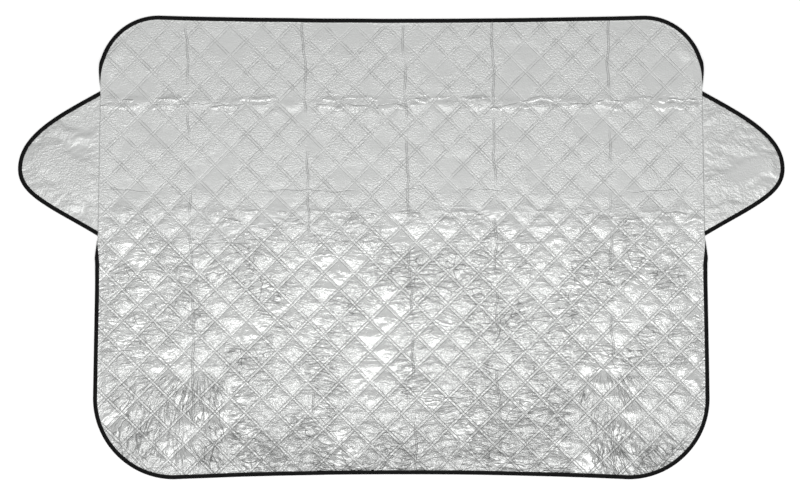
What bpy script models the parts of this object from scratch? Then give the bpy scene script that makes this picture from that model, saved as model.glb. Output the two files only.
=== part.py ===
"""Windshield frost cover: a quilted film panel with two side flaps, every edge bound in folded tape.

Metres, +Z up. The cover lies flat with its silver side up and its roof edge towards +Y. The origin is
under the middle of the whole cover, on the surface that it lies on.

Along each flap the panel's bound edge is turned under, and the flap's seam allowance lies inside the
turn. The tape thins out of sight towards both ends of the seam, where the turn starts.
"""

import math
from typing import NamedTuple

import bmesh
import bpy
from mathutils import Vector

# Panel outline, to the outer edge of its binding
PANEL_HEIGHT = 1.200
TOP_WIDTH = 1.566
BOTTOM_WIDTH = 1.596
TOP_CORNER_RADIUS = 0.155
BOTTOM_CORNER_RADIUS = 0.210
TOP_EDGE_BOW = 0.008
BOTTOM_EDGE_BOW = 0.013

# Flap outline: how far it reaches out from its root, where it leaves the panel, its tip, and the pull
# of its curve at each of them
FLAP_LENGTH = 0.2094
FLAP_DROP = 0.195
FLAP_ROOT = 0.375
FLAP_TIP_DROP = 0.202
UPPER_ROOT_SLOPE = math.radians(28.8)
LOWER_ROOT_SLOPE = math.radians(30.8)
UPPER_ROOT_PULL = 0.118
LOWER_ROOT_PULL = 0.142
UPPER_TIP_PULL = 0.091
LOWER_TIP_PULL = 0.070

# Bound edge: the tape is folded over a pressed edge of the sheet
BINDING_WIDTH = 0.010
TAPE = 0.0005
PRESSED_EDGE = 0.0018
SEAM_PLY = 0.00075
CLEARANCE = 0.0003

# Turned seam: the lengths over which the edge rises and turns under, past each end of the flap
UPPER_TURN = 0.084
LOWER_TURN = 0.066
RISE = 0.054
TURN_MARGIN = 0.004
SEAM_OUTSET = 0.008
ALLOWANCE_MARGIN = 0.005
THINNING_START = math.radians(100)

# Quilting: squares on the diagonal between weld lines
QUILT_PITCH = 0.0804
QUILT_MIDDLE = -0.0266
WELD_HEIGHT = 0.0022
PUFF_HEIGHT = 0.0062
SHOULDER_SPAN = 0.76
SHOULDER_RISE = 0.66
SMALLEST_CELL = 0.005
SMALLEST_SHOULDER = 0.016
SNAP = 0.0006

# Underside: how far in the panel rests on the ground
OPEN_MARGIN = 0.0025
TURNED_MARGIN = 0.008
HEM_REACH = 0.0175
SAG_REACH = 0.050
FLAP_REST_INSET = 0.001

# Steps along curves
EDGE_STEPS = 4
CORNER_STEPS = 10
CROWN_STEPS = 5
TURN_STEPS = 6
TAPE_STEPS = 6
NOSE_STEPS = 4
FLAP_STEPS = 9
CREASE_ANGLE = math.radians(50)

# Worked out from the sizes above
TONGUE_REACH = BINDING_WIDTH - TAPE - CLEARANCE
HALF_TONGUE = PRESSED_EDGE / 2
HALF_INSIDE = HALF_TONGUE + CLEARANCE
HALF_SANDWICH = HALF_INSIDE + TAPE
FOLD_RADIUS = HALF_SANDWICH + CLEARANCE / 2
FOLD_ARC = math.pi * FOLD_RADIUS
EDGE_LIFT = 2 * FOLD_RADIUS
HEM_RISE = EDGE_LIFT + TAPE + CLEARANCE
SEAM_NOSE = FOLD_RADIUS + HALF_TONGUE - FOLD_ARC
FLAP_START = SEAM_NOSE + CLEARANCE
ALLOWANCE_END = -FOLD_ARC - TONGUE_REACH
QUILT_SIDE = QUILT_PITCH / math.sqrt(2)

TOP = PANEL_HEIGHT / 2
BOTTOM = -PANEL_HEIGHT / 2
CROWN_Y = TOP - TOP_CORNER_RADIUS
FOOT_Y = BOTTOM + BOTTOM_CORNER_RADIUS
CROWN_X = TOP_WIDTH / 2 - TOP_CORNER_RADIUS
FOOT_X = BOTTOM_WIDTH / 2 - BOTTOM_CORNER_RADIUS
FLANK_SLANT = (TOP_WIDTH - BOTTOM_WIDTH) / 2 / (CROWN_Y - FOOT_Y)

FLAP_TOP = TOP - FLAP_DROP
FLAP_BOTTOM = FLAP_TOP - FLAP_ROOT
TURNED_TOP = FLAP_TOP + TURN_MARGIN
TURNED_BOTTOM = FLAP_BOTTOM - TURN_MARGIN
OPEN_TOP = TURNED_TOP + UPPER_TURN
OPEN_BOTTOM = TURNED_BOTTOM - LOWER_TURN
FLAT_TOP = OPEN_TOP + RISE
FLAT_BOTTOM = OPEN_BOTTOM - RISE


class Station(NamedTuple):
    """A place on the panel's outline, and what its bound edge does there."""

    edge: Vector
    outward: Vector
    lift: float = 0.0
    turned: float = 0.0
    fine: bool = False


def mix(start, end, share):
    return start + (end - start) * share


def ramp(value, low, high):
    """0 up to low, 1 from high, and straight between them."""
    return min(1.0, max(0.0, (value - low) / (high - low)))


def lift_at(y):
    return ramp(y, FLAT_BOTTOM, OPEN_BOTTOM) * (1 - ramp(y, OPEN_TOP, FLAT_TOP))


def turned_at(y):
    return ramp(y, OPEN_BOTTOM, TURNED_BOTTOM) * (1 - ramp(y, TURNED_TOP, OPEN_TOP))


def flank_station(y):
    """The right flank at a height, on its straight slant or on the corner above it."""
    if y <= CROWN_Y:
        edge = Vector((BOTTOM_WIDTH / 2 + FLANK_SLANT * (y - FOOT_Y), y, 0))
        outward = Vector((1, -FLANK_SLANT, 0)).normalized()
    else:
        angle = math.asin((y - CROWN_Y) / TOP_CORNER_RADIUS)
        outward = Vector((math.cos(angle), math.sin(angle), 0))
        edge = Vector((CROWN_X, CROWN_Y, 0)) + outward * TOP_CORNER_RADIUS
    return Station(edge, outward, lift_at(y), turned_at(y), OPEN_BOTTOM <= y <= OPEN_TOP)


def corner_stations(centre, radius, start, end, steps):
    for step in range(steps + 1):
        angle = mix(start, end, step / steps)
        outward = Vector((math.cos(angle), math.sin(angle), 0))
        yield Station(Vector((*centre, 0)) + outward * radius, outward)


def bowed_station(x, reach, y, bow):
    """A point on the long edges, which dip by bow towards the middle."""
    side = math.copysign(1, y)
    edge = Vector((x, y - side * bow * (1 - (x / reach) ** 2), 0))
    outward = Vector((-2 * bow * x / reach**2, side, 0)).normalized()
    return Station(edge, outward)


def right_half():
    """Stations from the middle of the lower edge, up the right flank, to the middle of the top edge."""
    stations = []
    for step in range(EDGE_STEPS):
        stations.append(bowed_station(FOOT_X * step / EDGE_STEPS, FOOT_X, BOTTOM, BOTTOM_EDGE_BOW))
    quarter = math.pi / 2
    stations += corner_stations((FOOT_X, FOOT_Y), BOTTOM_CORNER_RADIUS, -quarter, 0, CORNER_STEPS)
    heights = [FLAT_BOTTOM]
    for step in range(TURN_STEPS + 1):
        heights.append(mix(OPEN_BOTTOM, TURNED_BOTTOM, step / TURN_STEPS))
    for step in range(TURN_STEPS + 1):
        heights.append(mix(TURNED_TOP, OPEN_TOP, step / TURN_STEPS))
    stations += [flank_station(y) for y in heights]
    start = math.asin((FLAT_TOP - CROWN_Y) / TOP_CORNER_RADIUS)
    stations += corner_stations((CROWN_X, CROWN_Y), TOP_CORNER_RADIUS, start, quarter, CROWN_STEPS)
    for step in reversed(range(EDGE_STEPS)):
        stations.append(bowed_station(CROWN_X * step / EDGE_STEPS, CROWN_X, TOP, TOP_EDGE_BOW))
    return stations


def mirrored(station):
    flip = Vector((-1, 1, 1))
    return station._replace(edge=station.edge * flip, outward=station.outward * flip)


def panel_stations():
    right = right_half()
    left = [mirrored(station) for station in reversed(right[1:-1])]
    return right + left


def place(station, out, z):
    """A point at a distance out from the tape's inner edge."""
    shift = out - BINDING_WIDTH + SEAM_OUTSET * station.turned
    point = station.edge + station.outward * shift
    return Vector((point.x, point.y, z))


def folded(station, out, up):
    """A point of the edge sandwich, which starts flat and turns under: out from the tape's inner edge,
    up from the middle of the sandwich."""
    middle = HALF_SANDWICH + EDGE_LIFT * station.lift
    start = mix(BINDING_WIDTH, -FOLD_ARC, station.turned)
    past = out - start
    if past <= 0:
        return place(station, out, middle + up)
    if past >= FOLD_ARC:
        return place(station, start - (past - FOLD_ARC), middle - EDGE_LIFT - up)
    angle = past / FOLD_RADIUS
    reach = FOLD_RADIUS + up
    return place(station, start + reach * math.sin(angle), middle - FOLD_RADIUS + reach * math.cos(angle))


def tape_places(station):
    """Distances out at which the tape has points, apart from the one at its nose."""
    if not station.fine:
        return [0.0]
    return [TONGUE_REACH * step / TAPE_STEPS for step in range(TAPE_STEPS + 1)]


def tape_legs(station, at):
    """The section of the folded tape as four legs of points, each from its inner end to the nose."""
    outer = tape_places(station) + [BINDING_WIDTH]
    inner = tape_places(station) + [BINDING_WIDTH - TAPE]
    levels = ((outer, HALF_SANDWICH), (outer, -HALF_SANDWICH), (inner, -HALF_INSIDE), (inner, HALF_INSIDE))
    return [[at(station, out, level) for out in outs] for outs, level in levels]


def tape_runs(station, at=folded):
    """The legs of the tape, with the nose and the cut ends that join them. Every run goes outward, so
    the triangles of the tape and of the sheet inside it lie side by side in the turn."""
    over, under, inside_under, inside_over = tape_legs(station, at)
    noses = [[over[-1], under[-1]], [inside_under[-1], inside_over[-1]]]
    ends = [[under[0], inside_under[0]], [inside_over[0], over[0]]]
    return [over, under, inside_under, inside_over, *noses, *ends]


def tongue_top(station, out):
    """How high the silver face of the pressed edge lies in the sandwich. Where the edge is fully turned
    under it thins, which leaves room for the flap's seam allowance."""
    if station.turned < 1:
        return HALF_TONGUE
    thinned = SEAM_PLY - HALF_TONGUE
    angle = (out + FOLD_ARC) / FOLD_RADIUS
    return mix(HALF_TONGUE, thinned, ramp(angle, THINNING_START, math.pi))


def panel_runs(station):
    """The panel's rim, from the edge of its quilting over the pressed edge and back to its flat underside."""
    shoulder = mix(-CLEARANCE - TAPE, -FOLD_ARC, station.lift)
    outs = [shoulder, TONGUE_REACH]
    if station.fine:
        outs = [-FOLD_ARC * (1 - step / NOSE_STEPS) for step in range(NOSE_STEPS)] + tape_places(station)
    over = [folded(station, out, tongue_top(station, out)) for out in outs]
    under = [folded(station, out, -HALF_TONGUE) for out in outs]
    margin = mix(OPEN_MARGIN, TURNED_MARGIN, station.lift)
    quilt = place(station, -margin, WELD_HEIGHT)
    hem = place(station, -HEM_REACH, HEM_RISE * station.lift)
    rest = place(station, -SAG_REACH, 0)
    return [[quilt, over[0]], over, [over[-1], under[-1]], under, [under[0], hem], [hem, rest]]


def vertex_rows(mesh, sections):
    """Makes each section's points into vertices; ends that two runs share become one vertex."""
    rows = []
    for runs in sections:
        made = {}
        for run in runs:
            for point in run:
                if tuple(point) not in made:
                    made[tuple(point)] = mesh.verts.new(point)
        rows.append([[made[tuple(point)] for point in run] for run in runs])
    return rows


def stitch(mesh, first, second):
    """Triangles between two runs, which may have unlike numbers of points."""
    i = j = 0
    while i < len(first) - 1 or j < len(second) - 1:
        ahead_first = (i + 1) / (len(first) - 1)
        ahead_second = (j + 1) / (len(second) - 1)
        if ahead_first <= ahead_second:
            mesh.faces.new((first[i], first[i + 1], second[j]))
            i += 1
        else:
            mesh.faces.new((first[i], second[j + 1], second[j]))
            j += 1


def skin(mesh, stations, rows, closed):
    """Joins each section to the next. Both sheets of a turn get their triangles from its more turned end."""
    pairs = list(zip(stations, rows))
    following = pairs[1:] + pairs[:1] if closed else pairs[1:]
    for (station, row), (next_station, next_row) in zip(pairs, following):
        if station.turned < next_station.turned:
            row, next_row = next_row, row
        for first, second in zip(row, next_row):
            stitch(mesh, first, second)


def flank_depth(x, y):
    """How far a point lies in from the tape's inner edge on the flank beside it."""
    open_margin = BINDING_WIDTH - SEAM_OUTSET * turned_at(y)
    if y > CROWN_Y and abs(x) > CROWN_X:
        return TOP_CORNER_RADIUS - math.hypot(abs(x) - CROWN_X, y - CROWN_Y) - open_margin
    if y > CROWN_Y:
        return TOP_WIDTH / 2 - abs(x) - open_margin
    return flank_station(y).edge.x - abs(x) - open_margin


def raised_at(x, y):
    """How high the sheet is lifted beside a turned edge; further in it lies down on the ground."""
    return EDGE_LIFT * lift_at(y) * (1 - ramp(flank_depth(x, y), HEM_REACH, SAG_REACH))


def quilt_lines():
    """A point on each weld line, and the line's normal in the plane."""
    reach = (BOTTOM_WIDTH + PANEL_HEIGHT) / 2 + abs(QUILT_MIDDLE)
    count = math.ceil(reach / QUILT_PITCH)
    for slope in (1, -1):
        normal = Vector((1, slope, 0)).normalized()
        for line in range(-count, count + 1):
            yield Vector((line * QUILT_PITCH, QUILT_MIDDLE, 0)), normal


def half_width(cell, centre):
    """The distance from the middle of a cell to its nearest side."""
    widths = []
    for edge in cell.edges:
        start, end = (vertex.co for vertex in edge.verts)
        along = (end - start).normalized()
        across = (centre - start) - along * (centre - start).dot(along)
        widths.append(across.length)
    return min(widths)


def puff(mesh, cell):
    """Raises one cell between its weld lines: a shoulder all round, and a crown in the middle. A cell
    that the panel's edge cuts short stays lower, and a small one has no shoulder."""
    centre = cell.calc_center_median()
    half = half_width(cell, centre)
    if half < SMALLEST_CELL:
        return
    rise = (PUFF_HEIGHT - WELD_HEIGHT) * min(1.0, 2 * half / QUILT_SIDE)
    if half > SMALLEST_SHOULDER:
        bmesh.ops.inset_individual(mesh, faces=[cell], thickness=0)
        for vertex in cell.verts:
            vertex.co = centre.lerp(vertex.co, SHOULDER_SPAN)
            vertex.co.z = WELD_HEIGHT + rise * SHOULDER_RISE
    crown = bmesh.ops.poke(mesh, faces=[cell])["verts"][0]
    crown.co.z = WELD_HEIGHT + rise


def quilt(mesh, sheet):
    """Cuts the silver face along the weld lines and puffs up the squares between them."""
    cells = [sheet]
    for point, normal in quilt_lines():
        around = {item for cell in cells for item in (*cell.verts, *cell.edges)}
        cut = bmesh.ops.bisect_plane(
            mesh, geom=[*cells, *around], dist=SNAP, plane_co=point, plane_no=normal
        )
        cells = [item for item in cut["geom"] if isinstance(item, bmesh.types.BMFace)]
    for cell in cells:
        puff(mesh, cell)


def material(name, colour, metallic, roughness):
    made = bpy.data.materials.new(name)
    made.use_nodes = True
    shader = made.node_tree.nodes["Principled BSDF"]
    shader.inputs["Base Color"].default_value = (*colour, 1)
    shader.inputs["Metallic"].default_value = metallic
    shader.inputs["Roughness"].default_value = roughness
    return made


def silver_film(name):
    return material(name, (0.62, 0.63, 0.62), 0.85, 0.38)


def black_tape(name):
    return material(name, (0.012, 0.012, 0.013), 0.0, 0.75)


def finish(mesh, name, look):
    """Turns the faces outward and makes the object."""
    bmesh.ops.recalc_face_normals(mesh, faces=mesh.faces)
    data = bpy.data.meshes.new(name)
    mesh.to_mesh(data)
    mesh.free()
    data.materials.append(look(name))
    data.shade_smooth()
    data.set_sharp_from_angle(angle=CREASE_ANGLE)
    made = bpy.data.objects.new(name, data)
    bpy.context.collection.objects.link(made)


def make_panel(stations):
    mesh = bmesh.new()
    rows = vertex_rows(mesh, [panel_runs(station) for station in stations])
    skin(mesh, stations, rows, closed=True)
    rest = [row[-1][-1] for row in rows]
    mesh.faces.new(rest)
    quilt_edge = [row[0][0] for row in rows]
    rim = set(mesh.verts) - set(quilt_edge)
    quilt(mesh, mesh.faces.new(quilt_edge))
    for vertex in set(mesh.verts) - rim:
        vertex.co.z += raised_at(vertex.co.x, vertex.co.y)
    finish(mesh, "quilted_panel", silver_film)


def make_panel_binding(stations):
    mesh = bmesh.new()
    rows = vertex_rows(mesh, [tape_runs(station) for station in stations])
    skin(mesh, stations, rows, closed=True)
    finish(mesh, "panel_binding", black_tape)


def seam_point(y, out, z=0.0):
    return place(flank_station(y), out, z)


def curve_point(points, share):
    """A point on a cubic curve, and its direction there."""
    a, b, c, d = points
    rest = 1 - share
    point = a * rest**3 + b * (3 * rest**2 * share) + c * (3 * rest * share**2) + d * share**3
    along = (b - a) * rest**2 + (c - b) * (2 * rest * share) + (d - c) * share**2
    return point, along.normalized()


def flap_stations():
    """The right flap's outline, from the lower end of its root round the tip to the upper end. At both
    ends the section follows the root line, so the tape is cut flush with the seam."""
    low = seam_point(FLAP_BOTTOM, FLAP_START)
    high = seam_point(FLAP_TOP, FLAP_START)
    tip = seam_point(FLAP_TOP - FLAP_TIP_DROP, FLAP_START) + Vector((FLAP_LENGTH, 0, 0))
    lower_pull = Vector((math.cos(LOWER_ROOT_SLOPE), math.sin(LOWER_ROOT_SLOPE), 0)) * LOWER_ROOT_PULL
    upper_pull = Vector((math.cos(UPPER_ROOT_SLOPE), -math.sin(UPPER_ROOT_SLOPE), 0)) * UPPER_ROOT_PULL
    up = Vector((0, 1, 0))
    curves = [
        (low, low + lower_pull, tip - up * LOWER_TIP_PULL, tip),
        (tip, tip + up * UPPER_TIP_PULL, high + upper_pull, high),
    ]
    outline = []
    for curve in curves:
        outline += [curve_point(curve, step / FLAP_STEPS) for step in range(FLAP_STEPS)]
    outline.append(curve_point(curves[-1], 1))
    root = (high - low).normalized()
    stations = []
    for number, (point, along) in enumerate(outline):
        outward = Vector((along.y, -along.x, 0))
        if number in (0, len(outline) - 1):
            outward = root / root.dot(outward)
        stations.append(Station(point, outward))
    return stations


def flat_section(station, out, up):
    return place(station, out, HALF_SANDWICH + up)


def make_flap_binding(stations, side, name):
    mesh = bmesh.new()
    rows = vertex_rows(mesh, [tape_runs(station, flat_section) for station in stations])
    skin(mesh, stations, rows, closed=False)
    for row in (rows[0], rows[-1]):
        over, under, inside_under, inside_over = row[:4]
        mesh.faces.new(over + under[::-1] + inside_under + inside_over[::-1])
    bmesh.ops.scale(mesh, vec=(side, 1, 1), verts=mesh.verts)
    finish(mesh, name, black_tape)


def make_flap(stations, side, name):
    """A thin sheet whose edge is pressed for the tape and whose seam allowance runs into the panel's turn."""
    mesh = bmesh.new()
    low_z = TAPE + CLEARANCE
    ply_z = low_z + SEAM_PLY
    top_z = low_z + PRESSED_EDGE

    def points(outline, z):
        return [mesh.verts.new((point.x, point.y, z)) for point in outline]

    rim = [place(station, TONGUE_REACH, 0) for station in stations]
    pad = [place(station, -FLAP_REST_INSET, 0) for station in stations]
    for end in (0, -1):
        pad[end].x += FLAP_REST_INSET
    allowance = [
        seam_point(FLAP_TOP - ALLOWANCE_MARGIN, FLAP_START),
        seam_point(FLAP_TOP - ALLOWANCE_MARGIN, ALLOWANCE_END),
        seam_point(FLAP_BOTTOM + ALLOWANCE_MARGIN, ALLOWANCE_END),
        seam_point(FLAP_BOTTOM + ALLOWANCE_MARGIN, FLAP_START),
    ]
    rim_top = points(rim, top_z)
    rim_low = points(rim, low_z)
    pad_low = points(pad, low_z)
    pad_rest = points(pad, 0)
    ply_top = points(allowance, ply_z)
    ply_low = points(allowance, low_z)

    mesh.faces.new(rim_top)
    for upper, lower in ((rim_top, rim_low), (rim_low, pad_low), (pad_low, pad_rest)):
        for i in range(len(upper) - 1):
            mesh.faces.new((upper[i], upper[i + 1], lower[i + 1], lower[i]))
    mesh.faces.new(pad_rest)
    mesh.faces.new((pad_low[-1], pad_low[0], pad_rest[0], pad_rest[-1]))
    mesh.faces.new((rim_low[-1], *ply_low, rim_low[0], pad_low[0], pad_low[-1]))
    mesh.faces.new(
        (rim_top[0], rim_top[-1], rim_low[-1], ply_low[0], ply_top[0], ply_top[3], ply_low[3], rim_low[0])
    )
    mesh.faces.new(ply_top)
    for i in range(3):
        mesh.faces.new((ply_low[i], ply_low[i + 1], ply_top[i + 1], ply_top[i]))
    bmesh.ops.scale(mesh, vec=(side, 1, 1), verts=mesh.verts)
    finish(mesh, name, silver_film)


def main():
    for old in list(bpy.data.objects):
        bpy.data.objects.remove(old)
    stations = panel_stations()
    make_panel(stations)
    make_panel_binding(stations)
    flap = flap_stations()
    for side, word in ((-1, "left"), (1, "right")):
        make_flap(flap, side, f"{word}_flap")
        make_flap_binding(flap, side, f"{word}_flap_binding")


main()
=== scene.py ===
"""Looks of the windshield frost cover: crinkled silver film, quilted and puffed, bound in black tape.

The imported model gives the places. Everything is in metres, +Z up, in the model's own frame. The cover
lies flat on a pale floor with its silver side up, its roof edge towards +Y, and the camera straight
above it, as in the photograph.
"""

import math

import bpy
import numpy as np
from bpy.props import FloatProperty, FloatVectorProperty, IntProperty, PointerProperty
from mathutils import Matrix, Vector
from mathutils.geometry import delaunay_2d_cdt


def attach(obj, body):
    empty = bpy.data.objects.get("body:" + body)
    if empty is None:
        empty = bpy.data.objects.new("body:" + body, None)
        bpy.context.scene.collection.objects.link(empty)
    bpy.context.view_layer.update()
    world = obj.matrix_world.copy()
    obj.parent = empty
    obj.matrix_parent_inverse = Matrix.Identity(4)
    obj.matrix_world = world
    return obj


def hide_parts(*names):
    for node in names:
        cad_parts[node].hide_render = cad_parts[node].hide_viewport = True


bl_info = {
    "name": "Windshield frost cover",
    "version": (1, 0, 0),
    "blender": (4, 5, 0),
    "location": "3D View > Sidebar > Frost cover",
    "description": "Builds the film, flaps, tape and stitching of a quilted windshield frost cover",
    "category": "Object",
}

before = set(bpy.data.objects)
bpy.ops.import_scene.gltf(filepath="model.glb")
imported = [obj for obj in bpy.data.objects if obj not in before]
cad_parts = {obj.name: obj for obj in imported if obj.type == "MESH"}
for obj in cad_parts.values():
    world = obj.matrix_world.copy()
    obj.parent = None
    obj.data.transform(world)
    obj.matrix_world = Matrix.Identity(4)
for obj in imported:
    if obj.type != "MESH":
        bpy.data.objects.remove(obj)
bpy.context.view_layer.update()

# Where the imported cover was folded: lines down it, by their places at the roof edge and at the lower
# edge, and lines across it, by their heights; and the heights at which its film is most creased
FOLDS_DOWN = ((-0.555, -0.535), (-0.255, -0.222), (0.004, 0.040), (0.235, 0.255), (0.535, 0.550))
FOLD_LENGTH = 1.2
FOLDS_ACROSS = (0.372, 0.149, 0.012, -0.193, -0.268)
GLINT_HEIGHTS = (0.374, 0.078)

# The point that wrinkles run out from in the lower right corner; the left one mirrors it
SPOKES_X, SPOKES_Y = 0.52, -0.27

# The panel's rim, as in the solids: how far inside its tape the quilting ends, where the edge is flat and
# where it is turned, and how far in from a turned edge the hem ends and the underside lies down
OPEN_MARGIN, TURNED_MARGIN = 0.0025, 0.008
HEM_REACH, SAG_REACH = 0.0175, 0.050
SEAM_PLY = 0.00075

# Between points: along the panel's edge, along a flap's tape, over a flap and over the underside
EDGE_STEP, FLAP_EDGE_STEP, FLAP_STEP, UNDERSIDE_STEP = 0.005, 0.004, 0.0042, 0.05
FLAP_THICKNESS = 0.0007


# Sizes and colours that a user would change


class PanelSizes(bpy.types.PropertyGroup):
    """The panel's outline, to the outer edge of its tape."""

    height: FloatProperty(name="Height", description="Roof edge to lower edge", default=1.200, unit="LENGTH")
    top_width: FloatProperty(
        name="Top width", description="Width under the upper corners", default=1.566, unit="LENGTH"
    )
    bottom_width: FloatProperty(
        name="Bottom width", description="Width over the lower corners", default=1.596, unit="LENGTH"
    )
    top_corner: FloatProperty(
        name="Upper corner radius", description="Radius of the roof corners", default=0.155, unit="LENGTH"
    )
    bottom_corner: FloatProperty(
        name="Lower corner radius", description="Radius of the lower corners", default=0.210, unit="LENGTH"
    )
    top_bow: FloatProperty(
        name="Top bow", description="Dip in the middle of the roof edge", default=0.008, unit="LENGTH"
    )
    bottom_bow: FloatProperty(
        name="Bottom bow", description="Dip in the middle of the lower edge", default=0.013, unit="LENGTH"
    )
    seam_top: FloatProperty(
        name="Flap top", description="Height of the flap seam's upper end", default=0.405, unit="LENGTH"
    )
    seam_bottom: FloatProperty(
        name="Flap bottom", description="Height of the flap seam's lower end", default=0.030, unit="LENGTH"
    )
    upper_turn: FloatProperty(
        name="Upper turn", description="Length over which the edge turns under", default=0.084, unit="LENGTH"
    )
    lower_turn: FloatProperty(
        name="Lower turn", description="Length over which the edge turns under", default=0.066, unit="LENGTH"
    )
    rise: FloatProperty(
        name="Rise", description="Length over which the edge rises to its turn", default=0.054, unit="LENGTH"
    )
    seam_outset: FloatProperty(
        name="Seam outset", description="How far the turned edge is let out", default=0.008, unit="LENGTH"
    )


class FlapSizes(bpy.types.PropertyGroup):
    """The side flap's outline: two curves from its root to its tip."""

    length: FloatProperty(name="Length", description="Root to tip", default=0.2094, unit="LENGTH")
    tip_drop: FloatProperty(
        name="Tip drop", description="From the flap's top down to its tip", default=0.202, unit="LENGTH"
    )
    upper_slope: FloatProperty(
        name="Upper slope",
        description="Slope at the upper root",
        default=math.radians(28.8),
        unit="ROTATION",
    )
    lower_slope: FloatProperty(
        name="Lower slope",
        description="Slope at the lower root",
        default=math.radians(30.8),
        unit="ROTATION",
    )
    upper_root_pull: FloatProperty(
        name="Upper root pull", description="Pull of the curve at its root", default=0.118, unit="LENGTH"
    )
    lower_root_pull: FloatProperty(
        name="Lower root pull", description="Pull of the curve at its root", default=0.142, unit="LENGTH"
    )
    upper_tip_pull: FloatProperty(
        name="Upper tip pull", description="Pull of the curve at its tip", default=0.091, unit="LENGTH"
    )
    lower_tip_pull: FloatProperty(
        name="Lower tip pull", description="Pull of the curve at its tip", default=0.070, unit="LENGTH"
    )


class TapeSizes(bpy.types.PropertyGroup):
    """The folded binding tape and the thread that holds it."""

    width: FloatProperty(
        name="Width", description="Width that shows on each side", default=0.010, unit="LENGTH"
    )
    thickness: FloatProperty(
        name="Thickness", description="Of one ply of tape", default=0.0005, unit="LENGTH"
    )
    pressed_edge: FloatProperty(
        name="Pressed edge", description="Thickness of the sheet in the tape", default=0.0018, unit="LENGTH"
    )
    stitch: FloatProperty(name="Stitch", description="Length of one stitch", default=0.0034, unit="LENGTH")
    thread: FloatProperty(
        name="Thread", description="Thickness of the thread", default=0.0005, unit="LENGTH"
    )
    colour: FloatVectorProperty(
        name="Colour",
        description="Colour of the tape",
        subtype="COLOR",
        size=3,
        default=(0.0035, 0.0035, 0.0037),
    )


class FilmSizes(bpy.types.PropertyGroup):
    """The quilted film."""

    pitch: FloatProperty(
        name="Quilt pitch",
        description="Width of one square, corner to corner",
        default=0.0804,
        unit="LENGTH",
    )
    middle: FloatProperty(
        name="Quilt middle", description="Height of a row of crossings", default=-0.0266, unit="LENGTH"
    )
    weld_gap: FloatProperty(
        name="Weld gap", description="Between the two lines of a weld", default=0.0066, unit="LENGTH"
    )
    weld_height: FloatProperty(
        name="Weld height", description="Of the film on a weld line", default=0.0022, unit="LENGTH"
    )
    puff: FloatProperty(
        name="Puff", description="Rise of a full square's middle", default=0.0023, unit="LENGTH"
    )
    steps: IntProperty(name="Steps", description="Faces across one square", default=10)
    slack: FloatProperty(
        name="Slack",
        description="Share of film to spare that crumples a square",
        default=0.03,
        subtype="FACTOR",
    )
    colour: FloatVectorProperty(
        name="Colour",
        description="Colour of the metal film",
        subtype="COLOR",
        size=3,
        default=(0.765, 0.775, 0.765),
    )


class StageSizes(bpy.types.PropertyGroup):
    """The camera, the floor and the light."""

    lens: FloatProperty(name="Lens", description="Focal length in millimetres", default=85.0)
    view_width: FloatProperty(
        name="View width", description="Width of the floor in the picture", default=2.071, unit="LENGTH"
    )
    aim: FloatVectorProperty(
        name="Aim", description="Middle of the picture", subtype="XYZ", size=2, default=(-0.0034, -0.0026)
    )
    floor: FloatProperty(name="Floor", description="Width of the floor", default=40.0, unit="LENGTH")


class FrostCover(bpy.types.PropertyGroup):
    """All that can be changed on the cover."""

    panel: PointerProperty(type=PanelSizes)
    flap: PointerProperty(type=FlapSizes)
    tape: PointerProperty(type=TapeSizes)
    film: PointerProperty(type=FilmSizes)
    stage: PointerProperty(type=StageSizes)


# The outline of the cover, as the solids have it


def mix(start, end, share):
    return start + (end - start) * share


def ramp(value, low, high):
    """0 up to low, 1 from high, and straight between them."""
    return np.clip((value - low) / (high - low), 0, 1)


def smooth(value, low, high):
    """Like ramp, and level at both ends."""
    share = ramp(value, low, high)
    return share * share * (3 - 2 * share)


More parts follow.
